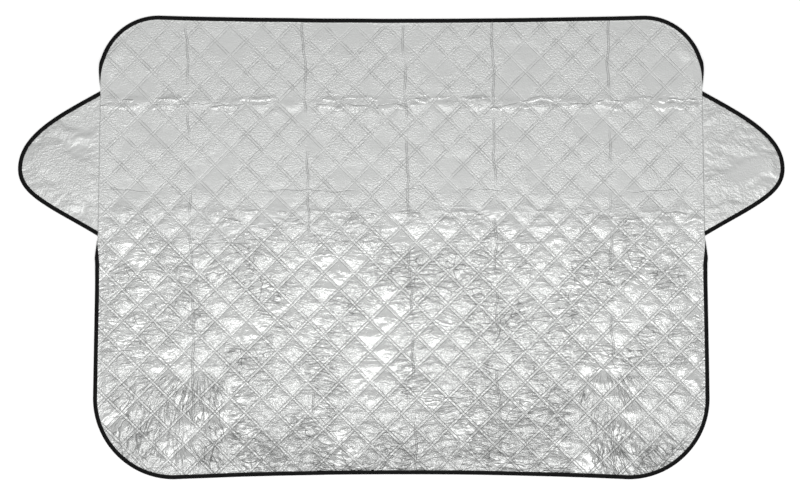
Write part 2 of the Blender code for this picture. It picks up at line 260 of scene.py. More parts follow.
class Edge:
    """A run of places along a bound edge, each with its outward direction, its lift off the floor and
    how far it is turned under. It follows the fold of the solids, so that film and tape lie in it."""

    clearance = 0.0003
    turn_margin = 0.004

    def __init__(self, cover, points, outward, upright=False):
        panel, tape = cover.panel, cover.tape
        self.point = np.array(points, float).reshape(-1, 2)
        self.outward = np.array(outward, float).reshape(-1, 2)
        self.width = tape.width
        self.outset = panel.seam_outset
        self.half_tongue = tape.pressed_edge / 2
        self.half_inside = self.half_tongue + self.clearance
        self.half = self.half_inside + tape.thickness
        self.radius = self.half + self.clearance / 2
        self.arc = math.pi * self.radius
        turned_top = panel.seam_top + self.turn_margin
        turned_low = panel.seam_bottom - self.turn_margin
        open_top = turned_top + panel.upper_turn
        open_low = turned_low - panel.lower_turn
        y = self.point[:, 1]
        shown = 0.0 if upright else 1.0
        self.lift = shown * smooth(y, open_low - panel.rise, open_low)
        self.lift *= 1 - smooth(y, open_top, open_top + panel.rise)
        self.turned = shown * ramp(y, open_low, turned_low) * (1 - ramp(y, turned_top, open_top))

    def __len__(self):
        return len(self.point)

    def travelled(self, closed):
        """The way along the edge to each of its points, and on to its end."""
        steps = np.diff(self.point, axis=0, append=self.point[:1] if closed else self.point[-1:])
        return np.concatenate([[0], np.cumsum(np.linalg.norm(steps, axis=1))])

    def place(self, out, z):
        """Points at a distance out from the tape's inner edge."""
        shift = out - self.width + self.outset * self.turned
        flat = self.point + self.outward * np.reshape(shift, (-1, 1))
        return np.column_stack([flat, np.broadcast_to(z, len(flat))])

    def folded(self, out, up):
        """Points of the edge's sandwich, which starts flat and turns under: out from the tape's inner
        edge, up from the middle of the sandwich."""
        out = np.broadcast_to(out, len(self))
        up = np.broadcast_to(up, len(self))
        middle = self.half + 2 * self.radius * self.lift
        start = mix(self.width, -self.arc, self.turned)
        past = out - start
        angle = np.clip(past, 0, self.arc) / self.radius
        reach = self.radius + up
        beyond = np.maximum(past - self.arc, 0)
        away = np.where(past <= 0, out, start + reach * np.sin(angle) - beyond)
        high = np.where(past <= 0, middle + up, middle - self.radius + reach * np.cos(angle))
        return self.place(away, high)


def panel_edge(cover, step):
    """The panel's whole outline, anticlockwise from the middle of the lower edge."""
    panel = cover.panel
    top, low = panel.height / 2, -panel.height / 2
    crown_y, foot_y = top - panel.top_corner, low + panel.bottom_corner
    crown_x = panel.top_width / 2 - panel.top_corner
    foot_x = panel.bottom_width / 2 - panel.bottom_corner
    points, outward = [], []

    def bowed(x, reach, y, bow):
        side = math.copysign(1, y)
        direction = Vector((-2 * bow * x / reach**2, side)).normalized()
        points.append((x, y - side * bow * (1 - (x / reach) ** 2)))
        outward.append(tuple(direction))

    def corner(x, y, radius, start):
        count = math.ceil(radius * math.pi / 2 / step)
        for number in range(count + 1):
            angle = start + math.pi / 2 * number / count
            points.append((x + radius * math.cos(angle), y + radius * math.sin(angle)))
            outward.append((math.cos(angle), math.sin(angle)))

    count = math.ceil(foot_x / step / 1.5)
    for number in range(count):
        bowed(foot_x * number / count, foot_x, low, panel.bottom_bow)
    corner(foot_x, foot_y, panel.bottom_corner, -math.pi / 2)
    slant = (panel.top_width - panel.bottom_width) / 2 / (crown_y - foot_y)
    count = math.ceil((crown_y - foot_y) / step)
    for number in range(1, count):
        rise = (crown_y - foot_y) * number / count
        points.append((panel.bottom_width / 2 + slant * rise, foot_y + rise))
        outward.append(tuple(Vector((1, -slant)).normalized()))
    corner(crown_x, crown_y, panel.top_corner, 0)
    count = math.ceil(crown_x / step / 1.5)
    for number in range(count - 1, -1, -1):
        bowed(crown_x * number / count, crown_x, top, panel.top_bow)
    right_points, right_outward = np.array(points), np.array(outward)
    flip = np.array([-1, 1])
    return Edge(
        cover,
        np.concatenate([right_points, (right_points * flip)[-2:0:-1]]),
        np.concatenate([right_outward, (right_outward * flip)[-2:0:-1]]),
    )


def flank_x(panel, y):
    """The right flank's outer edge at a height, on its slant or on the corner above it."""
    crown_y = panel.height / 2 - panel.top_corner
    foot_y = panel.bottom_corner - panel.height / 2
    slant = (panel.top_width - panel.bottom_width) / 2 / (crown_y - foot_y)
    straight = panel.bottom_width / 2 + slant * (y - foot_y)
    over = np.clip(y - crown_y, 0, panel.top_corner)
    round_ = panel.top_width / 2 - panel.top_corner + np.sqrt(panel.top_corner**2 - over**2)
    return np.where(y <= crown_y, straight, round_)


def seam_edge(cover, heights):
    """Places on the right flank at these heights."""
    panel = cover.panel
    heights = np.array(heights, float)
    x = flank_x(panel, heights)
    run = flank_x(panel, heights + 0.0005) - flank_x(panel, heights - 0.0005)
    outward = np.column_stack([np.full(len(x), 0.001), -run])
    outward /= np.linalg.norm(outward, axis=1)[:, None]
    return Edge(cover, np.column_stack([x, heights]), outward)


def flap_start(edge):
    """Out from the tape's inner edge to the line where the flap shows: just clear of the turned edge."""
    return edge.radius + edge.half_tongue - edge.arc + edge.clearance


def flap_edge(cover, step):
    """The right flap's curved outline, from its lower root round the tip to its upper root."""
    panel, flap = cover.panel, cover.flap
    tip_y = panel.seam_top - flap.tip_drop
    seam = seam_edge(cover, [panel.seam_bottom, tip_y, panel.seam_top])
    low, beside, high = (Vector(p[:2]) for p in seam.place(flap_start(seam), 0))
    tip = beside + Vector((flap.length, 0))
    lower = Vector((math.cos(flap.lower_slope), math.sin(flap.lower_slope))) * flap.lower_root_pull
    upper = Vector((math.cos(flap.upper_slope), -math.sin(flap.upper_slope))) * flap.upper_root_pull
    up = Vector((0, 1))
    curves = (
        (low, low + lower, tip - up * flap.lower_tip_pull, tip),
        (tip, tip + up * flap.upper_tip_pull, high + upper, high),
    )
    points, outward = [], []
    for a, b, c, d in curves:
        count = math.ceil((d - a).length * 1.1 / step)
        for number in range(count + (d is high)):
            share = number / count
            rest = 1 - share
            points.append(a * rest**3 + b * (3 * rest**2 * share) + c * (3 * rest * share**2) + d * share**3)
            along = (b - a) * rest**2 + (c - b) * (2 * rest * share) + (d - c) * share**2
            outward.append(Vector((along.y, -along.x)).normalized())
    root = (high - low).normalized()
    for end in (0, -1):
        outward[end] = root / root.dot(outward[end])
    return Edge(cover, points, outward, upright=True)


# Noise, polygons and meshes


def noise_at(x, y, seed):
    """Smooth noise from -1 to 1 that repeats nowhere on the cover, about one unit from hill to hill."""
    low_x, low_y = math.floor(np.min(x)), math.floor(np.min(y))
    wide = math.ceil(np.max(x)) - low_x + 3
    high = math.ceil(np.max(y)) - low_y + 3
    table = np.random.default_rng(seed).uniform(-1, 1, (wide, high))
    i, j = np.floor(x - low_x).astype(int), np.floor(y - low_y).astype(int)
    s, t = x - low_x - i, y - low_y - j
    s, t = s * s * (3 - 2 * s), t * t * (3 - 2 * t)
    near = mix(table[i, j], table[i + 1, j], s)
    far = mix(table[i, j + 1], table[i + 1, j + 1], s)
    return mix(near, far, t)


def layered_noise(x, y, seed):
    return (noise_at(x, y, seed) + noise_at(x * 2.1, y * 2.1, seed + 1) / 2) / 1.5


def inside(x, y, loop):
    """Which points lie within a closed line."""
    result = np.zeros(len(x), bool)
    for (ax, ay), (bx, by) in zip(loop, np.roll(loop, -1, axis=0)):
        if ay != by:
            crosses = (ay > y) != (by > y)
            result ^= crosses & (x < ax + (y - ay) / (by - ay) * (bx - ax))
    return result


def loop_distance(x, y, loop):
    """How far points lie from a closed line of close points, and which of its points is nearest."""
    best = np.full(len(x), 1e9)
    which = np.zeros(len(x), int)
    for number, (ax, ay) in enumerate(loop):
        away = (x - ax) ** 2 + (y - ay) ** 2
        nearer = away < best
        best[nearer], which[nearer] = away[nearer], number
    return np.sqrt(best), which


def fill(loop, inner, inner_edges=(), leave_out=None):
    """Triangles between a closed line and the points inside it, as numbers into both together."""
    points = [Vector(p) for p in np.concatenate([loop, inner])]
    count = len(loop)
    edges = [(i, (i + 1) % count) for i in range(count)]
    edges += [(a + count, b + count) for a, b in inner_edges]
    made, _, faces, origins, _, _ = delaunay_2d_cdt(points, edges, [], 0, 1e-7)
    if len(made) != len(points):
        raise RuntimeError("the fill of an outline made points of its own")
    first = [origin[0] for origin in origins]
    faces = np.array([[first[corner] for corner in face] for face in faces])
    flat = np.array([tuple(p) for p in points])
    middle = flat[faces].mean(axis=1)
    keep = inside(middle[:, 0], middle[:, 1], loop)
    if leave_out is not None:
        keep &= ~leave_out(middle[:, 0], middle[:, 1])
    return faces[keep]


def loft(rows, closed):
    """Quads between neighbouring rows of point numbers; closed joins the last row to the first."""
    rows = np.array(rows)
    following = np.roll(rows, -1, axis=0) if closed else rows[1:]
    rows = rows if closed else rows[:-1]
    quads = np.stack([rows[:, :-1], following[:, :-1], following[:, 1:], rows[:, 1:]], axis=-1)
    return quads.reshape(-1, 4)


def new_piece(name, points, faces, looks, side=1):
    """A smooth mesh object at the origin, turned outward."""
    points = np.array(points) * (side, 1, 1)
    mesh = bpy.data.meshes.new(name)
    mesh.from_pydata(points.tolist(), [], [list(map(int, face)) for face in faces])
    mesh.validate()
    piece = bpy.data.objects.new(name, mesh)
    bpy.context.collection.objects.link(piece)
    for look in looks:
        mesh.materials.append(look)
    turn_outward(piece)
    mesh.shade_smooth()
    return piece


def select_only(piece):
    bpy.ops.object.select_all(action="DESELECT")
    bpy.context.view_layer.objects.active = piece
    piece.select_set(True)


def turn_outward(piece):
    """Turns the faces of a closed mesh outward."""
    select_only(piece)
    bpy.ops.object.mode_set(mode="EDIT")
    bpy.ops.mesh.select_all(action="SELECT")
    bpy.ops.mesh.normals_make_consistent(inside=False)
    bpy.ops.object.mode_set(mode="OBJECT")
    piece.select_set(False)


def crumpled(loose, laid, faces, pinned, pressure, frames=18):
    """Where film comes to lie when its pinned points are drawn from their loose places to their laid
    ones: what it has to spare buckles up between them."""
    mesh = bpy.data.meshes.new("film_at_work")
    mesh.from_pydata(loose.tolist(), [], faces.tolist())
    film = bpy.data.objects.new("film_at_work", mesh)
    bpy.context.collection.objects.link(film)
    film.vertex_groups.new(name="pins").add(np.nonzero(pinned)[0].tolist(), 1.0, "REPLACE")
    film.shape_key_add(name="Loose")
    key = film.shape_key_add(name="Laid")
    key.data.foreach_set("co", laid.astype(np.float32).ravel())
    key.value = 0
    key.keyframe_insert("value", frame=1)
    key.value = 1
    key.keyframe_insert("value", frame=1 + frames * 0.6)
    cloth = film.modifiers.new("Film", "CLOTH")
    settings = cloth.settings
    settings.vertex_group_mass = "pins"
    settings.quality = 4
    settings.mass = 0.1
    settings.tension_stiffness = settings.compression_stiffness = 40
    settings.shear_stiffness = 20
    settings.bending_stiffness = 0.005
    settings.tension_damping = settings.compression_damping = settings.shear_damping = 5
    settings.bending_damping = 0.5
    settings.air_damping = 1
    settings.use_pressure = True
    settings.uniform_pressure_force = pressure
    settings.effector_weights.gravity = 0
    cloth.collision_settings.use_collision = False
    cloth.point_cache.frame_start, cloth.point_cache.frame_end = 1, frames
    for number in range(1, frames + 1):
        bpy.context.scene.frame_set(number)
    shape = film.evaluated_get(bpy.context.evaluated_depsgraph_get()).data
    points = np.empty(len(shape.vertices) * 3)
    shape.vertices.foreach_get("co", points)
    bpy.context.scene.frame_set(1)
    bpy.data.objects.remove(film)
    bpy.data.meshes.remove(mesh)
    if not np.isfinite(points).all():
        raise RuntimeError("the crumpled film came apart")
    return points.reshape(-1, 3)


# Materials


class Net:
    """Adds nodes to a tree and joins them."""

    def __init__(self, tree):
        self.tree = tree
        self.column = 0

    def add(self, kind, settings=None, **inputs):
        node = self.tree.nodes.new(kind)
        node.location = (self.column * 180 - 2400, -200 * (self.column % 3))
        self.column += 1
        for name, value in (settings or {}).items():
            setattr(node, name, value)
        for name, value in inputs.items():
            self.put(node, name.replace("_", " "), value)
        return node

    def put(self, node, name, value):
        socket = node.inputs[int(name) if name.isdigit() else name]
        if isinstance(value, bpy.types.NodeSocket):
            self.tree.links.new(value, socket)
        else:
            socket.default_value = value

    def math(self, operation, *values):
        node = self.add("ShaderNodeMath", {"operation": operation})
        for number, value in enumerate(values):
            self.put(node, str(number), value)
        return node.outputs[0]

    def span(self, value, low, high, to_low=0.0, to_high=1.0):
        """The value's place between low and high, level at both ends."""
        node = self.add("ShaderNodeMapRange", {"interpolation_type": "SMOOTHSTEP"}, Value=value)
        for name, number in (("From Min", low), ("From Max", high), ("To Min", to_low), ("To Max", to_high)):
            self.put(node, name, number)
        return node.outputs[0]

    def noise(self, vector, scale, detail=2.0, roughness=0.5):
        node = self.add("ShaderNodeTexNoise", Vector=vector, Scale=scale, Detail=detail, Roughness=roughness)
        return node.outputs["Fac"]

    def vector(self, operation, first, second):
        node = self.add("ShaderNodeVectorMath", {"operation": operation})
        self.put(node, "0", first)
        self.put(node, "1", second)
        return node.outputs[0]

    def scaled(self, vector, scale):
        return self.vector("MULTIPLY", vector, scale)

    def pushed(self, vector, scale, reach):
        """The vector shifted by a noise, by up to half the reach each way."""
        colour = self.add("ShaderNodeTexNoise", Vector=vector, Scale=scale, Detail=1.0).outputs["Color"]
        shift = self.vector("SUBTRACT", colour, (0.5, 0.5, 0.5))
        return self.vector("ADD", vector, self.scaled(shift, (reach, reach, 0.0)))

    def pleats(self, value, apart, front):
        """Pleats across a value: each rises over a short front and falls slowly back to the next one."""
        place = self.math("FLOORED_MODULO", value, apart)
        up = self.span(place, 0.0, front)
        return self.math("SUBTRACT", up, self.span(place, front, apart))

    def total(self, *values):
        result = values[0]
        for value in values[1:]:
            result = self.math("ADD", result, value)
        return result


def new_group(name, inputs, outputs):
    """An empty node group with these sockets."""
    tree = bpy.data.node_groups.new(name, "ShaderNodeTree")
    for direction, sockets in (("INPUT", inputs), ("OUTPUT", outputs)):
        for label, kind, default in sockets:
            socket = tree.interface.new_socket(label, in_out=direction, socket_type=kind)
            if default is not None:
                socket.default_value = default
    net = Net(tree)
    return net, net.add("NodeGroupInput").outputs, net.add("NodeGroupOutput")


def crinkle_group():
    """Creases and small facets of crushed film, which run across it for the most part. Depth is how
    deeply it is crushed, from 0 to 1."""
    old = bpy.data.node_groups.get("Film crinkle")
    if old:
        return old
    net, given, result = new_group(
        "Film crinkle",
        [("Position", "NodeSocketVector", None), ("Depth", "NodeSocketFloat", 1.0)],
        [("Height", "NodeSocketFloat", None), ("Crease", "NodeSocketFloat", None)],
    )
    position = given["Position"]
    swayed = net.pushed(position, 5.0, 0.10)
    bent = net.pushed(swayed, 38.0, 0.012)
    stretched = net.scaled(bent, (0.30, 1.0, 1.0))

    # Pleats with a bright front, wrinkles with sharp crests, and facets that each tilt their own way
    along = net.add("ShaderNodeSeparateXYZ", Vector=bent).outputs["Y"]
    wave = net.math("MULTIPLY", net.noise(net.scaled(bent, (0.45, 1.0, 1.0)), 62.0, 3.0), 0.026)
    pleats = net.pleats(net.math("ADD", along, wave), 0.0115, 0.0036)
    here = net.span(net.noise(net.scaled(bent, (0.6, 1.5, 1.0)), 42.0, 2.0), 0.42, 0.54)
    pleats = net.math("MULTIPLY", pleats, here)
    ripple = net.noise(stretched, 120.0, 2.0, 0.5)
    crests = net.math("ABSOLUTE", net.math("SUBTRACT", net.noise(stretched, 95.0, 2.0), 0.5))
    facets = net.add("ShaderNodeTexVoronoi", Vector=stretched, Scale=150.0, Randomness=1.0)
    offset = net.vector("SUBTRACT", stretched, facets.outputs["Position"])
    tilt = net.vector("SUBTRACT", facets.outputs["Color"], (0.5, 0.5, 0.5))
    facet = net.add("ShaderNodeVectorMath", {"operation": "DOT_PRODUCT"})
    net.put(facet, "0", offset)
    net.put(facet, "1", tilt)
    facet = facet.outputs["Value"]
    fine = net.noise(bent, 420.0, 2.0)

    # Creases, as thin lines pressed in, where the film's colour is darkened as painted shade: short ones
    # across it, and long ones that meet at corners
    runs = net.math("ABSOLUTE", net.math("SUBTRACT", net.noise(stretched, 30.0, 2.0), 0.5))
    short = net.math("MULTIPLY", net.span(runs, 0.0, 0.020, 1.0, 0.0), given["Depth"])
    short = net.math("MULTIPLY", short, net.span(net.noise(position, 9.0, 1.0), 0.50, 0.58))
    cells = net.add("ShaderNodeTexVoronoi", {"feature": "DISTANCE_TO_EDGE"}, Vector=swayed, Scale=11.0)
    long = net.span(cells.outputs["Distance"], 0.0, 0.014, 1.0, 0.0)
    long = net.math("MULTIPLY", long, net.span(given["Depth"], 0.25, 1.15))
    long = net.math("MULTIPLY", long, net.span(net.noise(position, 9.5, 1.0), 0.48, 0.56))
    crease = net.math("MAXIMUM", short, long)
    height = net.total(
        net.math("MULTIPLY", pleats, 0.0018),
        net.math("MULTIPLY", ripple, 0.0016),
        net.math("MULTIPLY", crests, -0.0016),
        net.math("MULTIPLY", facet, 0.25),
        net.math("MULTIPLY", fine, 0.0003),
    )
    pressed = net.math("MULTIPLY", crease, -0.0006)
    net.put(result, "Height", net.math("MULTIPLY_ADD", height, given["Depth"], pressed))
    net.put(result, "Crease", crease)
    return net.tree


def grain_group():
    """Fine crossed grain of film on a scrim."""
    old = bpy.data.node_groups.get("Film grain")
    if old:
        return old
    net, given, result = new_group(
        "Film grain",
        [("Position", "NodeSocketVector", None)],
        [("Height", "NodeSocketFloat", None), ("Speckle", "NodeSocketFloat", None)],
    )
    position = given["Position"]
    along = net.noise(net.scaled(position, (0.75, 1.1, 1.0)), 300.0, 2.0)
    across = net.noise(net.scaled(position, (1.1, 0.75, 1.0)), 300.0, 2.0)
    where = net.span(net.noise(position, 8.0, 1.0), 0.36, 0.50, 0.35, 1.0)
    strength = net.math("MULTIPLY", where, 0.0013)
    net.put(result, "Height", net.math("MULTIPLY", net.total(along, across), strength))
    speckle = net.math("SUBTRACT", net.noise(position, 340.0, 1.0), 0.5)
    net.put(result, "Speckle", net.math("MULTIPLY", speckle, where))
    return net.tree


def weld_group(film):
    """The double weld lines of the quilting: Line is 1 on a line, and Height is how deep it is pressed."""
    old = bpy.data.node_groups.get("Weld lines")
    if old:
        return old
    net, given, result = new_group(
        "Weld lines",
        [("Position", "NodeSocketVector", None)],
        [(label, "NodeSocketFloat", None) for label in ("Height", "Line", "Band")],
    )
    axes = net.add("ShaderNodeSeparateXYZ", Vector=given["Position"]).outputs
    side = film.pitch / math.sqrt(2)
    lines, bands = [], []
    for operation in ("SUBTRACT", "ADD"):
        shifted = net.math("SUBTRACT", axes["Y"], film.middle)
        squares = net.math("DIVIDE", net.math(operation, axes["X"], shifted), film.pitch)
        away = net.math("MULTIPLY", net.math("PINGPONG", squares, 0.5), side)
        off = net.math("ABSOLUTE", net.math("SUBTRACT", away, film.weld_gap / 2))
        lines.append(net.span(off, 0.0, 0.0013, 1.0, 0.0))
        bands.append(net.span(away, film.weld_gap * 0.4, film.weld_gap * 0.6, 1.0, 0.0))
    line = net.math("MAXIMUM", *lines)
    net.put(result, "Line", line)
    net.put(result, "Band", net.math("MAXIMUM", *bands))
    pressed = net.span(net.noise(given["Position"], 22.0, 2.0), 0.3, 0.7, -0.0002, -0.0008)
    net.put(result, "Height", net.math("MULTIPLY", line, pressed))
    return net.tree


def folds_group():
    """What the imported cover's folds leave in the film. Line is 1 on thin creases, in pairs down the cover
    and single across it; Height has them pressed in, and short pleats that glint at the main folds, where
    Pleat is 1."""
    old = bpy.data.node_groups.get("Packing folds")
    if old:
        return old
    net, given, result = new_group(
        "Packing folds",
        [("Position", "NodeSocketVector", None)],
        [(label, "NodeSocketFloat", None) for label in ("Height", "Line", "Pleat")],
    )
    position = given["Position"]
    axes = net.add("ShaderNodeSeparateXYZ", Vector=position).outputs

    def nearest(value, places):
        """How far the value is from the nearest of the places."""
        away = [net.math("ABSOLUTE", net.math("SUBTRACT", value, place)) for place in places]
        result = away[0]
        for other in away[1:]:
            result = net.math("MINIMUM", result, other)
        return result

    def wandering(axis, along, scale, reach):
        """An axis that wanders to and fro along a fold."""
        shift = net.math("SUBTRACT", net.noise(net.scaled(position, along), scale), 0.5)
        return net.math("ADD", axes[axis], net.math("MULTIPLY", shift, reach))

    # Lines down the cover lean a little, each by its own share
    x = wandering("X", (0.1, 1.0, 1.0), 12.0, 0.026)
    leaning = []
    for top, low in FOLDS_DOWN:
        leaning.append(net.math("MULTIPLY_ADD", axes["Y"], (top - low) / FOLD_LENGTH, (top + low) / 2))
    pair = net.math("ABSOLUTE", net.math("SUBTRACT", nearest(x, leaning), 0.0021))
    shown = net.span(net.noise(position, 7.0, 1.0), 0.43, 0.55)
    down = net.math("MULTIPLY", net.span(pair, 0.0, 0.0013, 1.0, 0.0), shown)
    y = wandering("Y", (1.0, 0.1, 1.0), 14.0, 0.030)
    shown = net.span(net.noise(position, 5.0, 1.0), 0.50, 0.56)
    across = net.math("MULTIPLY", net.span(nearest(y, FOLDS_ACROSS), 0.0, 0.0014, 1.0, 0.0), shown)
    line = net.math("MAXIMUM", down, across)

    # Pleats: short arcs within a hand's breadth of the main folds
    arcs = wandering("Y", (1.0, 0.3, 1.0), 26.0, 0.040)
    here = net.span(net.noise(net.scaled(position, (0.55, 2.0, 1.0)), 17.0, 2.0), 0.51, 0.57)
    near = net.span(nearest(y, GLINT_HEIGHTS), 0.010, 0.030, 1.0, 0.0)
    shown = net.math("MULTIPLY", here, near)
    pleats = net.math("MULTIPLY", net.pleats(arcs, 0.021, 0.0048), shown)
    pressed = net.math("MULTIPLY", line, -0.0006)
    net.put(result, "Height", net.math("ADD", pressed, net.math("MULTIPLY", pleats, 0.0017)))
    net.put(result, "Line", line)
    net.put(result, "Pleat", shown)
    return net.tree


def use(net, group, **inputs):
    node = net.add("ShaderNodeGroup", {"node_tree": group}, **inputs)
    return node.outputs


def new_material(name):
    look = bpy.data.materials.new(name)
    look.use_nodes = True
    net = Net(look.node_tree)
    position = net.add("ShaderNodeTexCoord").outputs["Object"]
    return look, net, look.node_tree.nodes["Principled BSDF"], position


def blend_colours(net, share, first, second):
    node = net.add("ShaderNodeMix", {"data_type": "RGBA"})
    net.put(node, "Factor", share)
    sockets = [socket for socket in node.inputs if socket.type == "RGBA"]
    for socket, colour in zip(sockets, (first, second)):
        socket.default_value = (*colour, 1)
    return next(socket for socket in node.outputs if socket.type == "RGBA")


def crinkled(net, position, depth):
    """Crinkles that run across the cover, and out from a point near each lower corner in that corner.
    Where the one changes to the other, the film is calm."""
    axes = net.add("ShaderNodeSeparateXYZ", Vector=position).outputs
    x = net.math("SUBTRACT", net.math("ABSOLUTE", axes["X"]), SPOKES_X)
    y = net.math("SUBTRACT", axes["Y"], SPOKES_Y)
    reach = net.math("SQRT", net.math("ADD", net.math("MULTIPLY", x, x), net.math("MULTIPLY", y, y)))
    turn = net.math("MULTIPLY", net.math("ARCTAN2", y, x), 0.20)
    turn = net.math("ADD", turn, net.math("SIGN", axes["X"]))
    fan = net.add("ShaderNodeCombineXYZ", X=reach, Y=turn).outputs[0]
    corner = net.math("MULTIPLY", net.span(x, -0.12, -0.02), net.span(y, -0.10, -0.01, 1.0, 0.0))
    corner = net.math("SUBTRACT", corner, 0.5)
    pick = net.add("ShaderNodeMix", {"data_type": "VECTOR"})
    net.put(pick, "Factor", net.math("GREATER_THAN", corner, 0.0))
    sockets = [socket for socket in pick.inputs if socket.type == "VECTOR" and socket.name in "AB"]
    net.tree.links.new(position, sockets[0])
    net.tree.links.new(fan, sockets[1])
    flow = next(socket for socket in pick.outputs if socket.type == "VECTOR")
    calm = net.span(net.math("ABSOLUTE", corner), 0.0, 0.3, 0.3, 1.0)
    return use(net, crinkle_group(), Position=flow, Depth=net.math("MULTIPLY", depth, calm))


def film_material(film, quilted):
    """Aluminised film: bright metal, matt and calm towards the roof edge, crushed and sharper below."""
    name = "quilted_film" if quilted else "flap_film"
    look, net, shader, position = new_material(name)
    axes = net.add("ShaderNodeSeparateXYZ", Vector=position).outputs
    patches = net.noise(position, 5.0, 2.0)
    grain = use(net, grain_group(), Position=position)
    if quilted:
        weld = use(net, weld_group(film), Position=position)
        height = net.math("ADD", axes["Y"], net.math("MULTIPLY", patches, 0.25))
        bright = net.span(height, 0.08, 0.28, 1.0, 0.06)
        calm = net.span(net.noise(position, 6.0, 1.0), 0.40, 0.57, 0.20, 0.85)
        free = net.math("SUBTRACT", 1.0, net.math("MULTIPLY", weld["Band"], 0.60))
        crushed = net.math("MULTIPLY", net.math("MULTIPLY", bright, calm), free)
        crushed = net.math("ADD", crushed, net.span(axes["Y"], -0.56, -0.42, 0.5, 0.0))
        crinkle = crinkled(net, position, crushed)
        folds = use(net, folds_group(), Position=position)
        relief = net.total(crinkle["Height"], grain["Height"], weld["Height"], folds["Height"])
        # A line of painted shade just above each weld line, beside its groove
        beside = net.vector("ADD", position, (0.0, 0.0014, 0.0))
        shade = use(net, weld_group(film), Position=beside)["Line"]
        shade = net.math("MULTIPLY", shade, net.span(bright, 0.1, 0.9, 0.17, 0.40))
        # Painted shade in the film's colour: in its creases, on the fold lines and beside the welds
        painted_shade = net.math("MAXIMUM", crinkle["Crease"], net.math("MULTIPLY", folds["Line"], 0.45))
        painted_shade = net.math("MAXIMUM", painted_shade, shade)
        # More painted shade: darker towards the lower edge, and a little darker where the film is calm
        # towards the roof edge
        painted_lower_shade = net.span(axes["Y"], -0.60, -0.13, 0.34, 0.0)
        painted_shade = net.total(painted_shade, painted_lower_shade, net.span(bright, 0.1, 0.8, 0.06, 0.0))
        bright = net.math("MAXIMUM", bright, folds["Pleat"])
    else:
        bright = crushed = net.span(patches, 0.42, 0.62, 0.04, 0.16)
        crinkle = use(net, crinkle_group(), Position=position, Depth=crushed)
        rough = net.span(patches, 0.42, 0.60, 0.0002, 0.0016)
        crumbs = net.math("MULTIPLY", net.noise(position, 170.0, 2.0), rough)
        relief = net.total(crinkle["Height"], grain["Height"], crumbs)
        # Painted shade in the creases, and the flap's film a little darker all over
        painted_shade = net.math("ADD", crinkle["Crease"], 0.09)
    bump = net.add("ShaderNodeBump", Height=relief, Strength=1.0, Distance=1.0)
    net.put(shader, "Normal", bump.outputs[0])
    dull = net.math("MULTIPLY", net.noise(position, 60.0, 3.0), 0.08)
    matt = net.math("MULTIPLY", net.math("SUBTRACT", 1.0, bright), 0.20)
    net.put(shader, "Roughness", net.total(0.14, dull, matt, net.math("MULTIPLY", painted_shade, 0.10)))
    # The darker colour that painted shade and the grain's speckle blend the film towards
    dark = tuple(value * 0.45 for value in film.colour)
    tone = net.total(painted_shade, net.math("MULTIPLY", grain["Speckle"], 0.5), 0.05)
    tone = net.add("ShaderNodeClamp", Value=tone).outputs[0]
    net.put(shader, "Base Color", blend_colours(net, tone, tuple(film.colour), dark))
    shader.inputs["Metallic"].default_value = 1.0
    return look


def tape_material(tape):
    """Ribbed black polyester tape, with a soft sheen where it is folded over the edge."""
    look, net, shader, position = new_material("black_binding_tape")
    uv = net.add("ShaderNodeUVMap", {"uv_map": "Tape"}).outputs["UV"]
    axes = net.add("ShaderNodeSeparateXYZ", Vector=uv).outputs
    ribs = net.math("SINE", net.math("MULTIPLY", axes["X"], 2 * math.pi / 0.0011))
    slant = net.math("ADD", axes["Y"], axes["X"])
    weft = net.math("SINE", net.math("MULTIPLY", slant, 2 * math.pi / 0.0007))
    fuzz = net.noise(position, 900.0, 2.0)
    relief = net.total(
        net.math("MULTIPLY", ribs, 0.00005),
        net.math("MULTIPLY", weft, 0.00003),
        net.math("MULTIPLY", fuzz, 0.00012),
    )
    bump = net.add("ShaderNodeBump", Height=relief, Strength=1.0, Distance=1.0)
    net.put(shader, "Normal", bump.outputs[0])
    lint = net.span(net.noise(position, 220.0, 4.0, 0.7), 0.55, 0.8)
    pale = tuple(value * 2.4 + 0.004 for value in tape.colour)
    net.put(shader, "Base Color", blend_colours(net, lint, tuple(tape.colour), pale))
    net.put(shader, "Roughness", net.math("ADD", 0.58, net.math("MULTIPLY", fuzz, 0.2)))
    shader.inputs["Specular IOR Level"].default_value = 0.12
    shader.inputs["Sheen Weight"].default_value = 0.01
    return look


def thread_material():
    look, net, shader, position = new_material("black_thread")
    axes = net.add("ShaderNodeSeparateXYZ", Vector=position).outputs
    twist = net.math("SINE", net.math("MULTIPLY", net.total(axes["X"], axes["Y"], axes["Z"]), 9000.0))
    bump = net.add("ShaderNodeBump", Height=net.math("MULTIPLY", twist, 0.00003), Strength=1.0, Distance=1.0)
    net.put(shader, "Normal", bump.outputs[0])
    wear = net.noise(position, 500.0, 2.0)
    net.put(shader, "Base Color", blend_colours(net, wear, (0.010, 0.010, 0.011), (0.045, 0.045, 0.047)))
    shader.inputs["Roughness"].default_value = 0.5
    return look


def shared(name, make, *arguments):
    """A material that several pieces use, made once."""
    return bpy.data.materials.get(name) or make(*arguments)


# Pieces


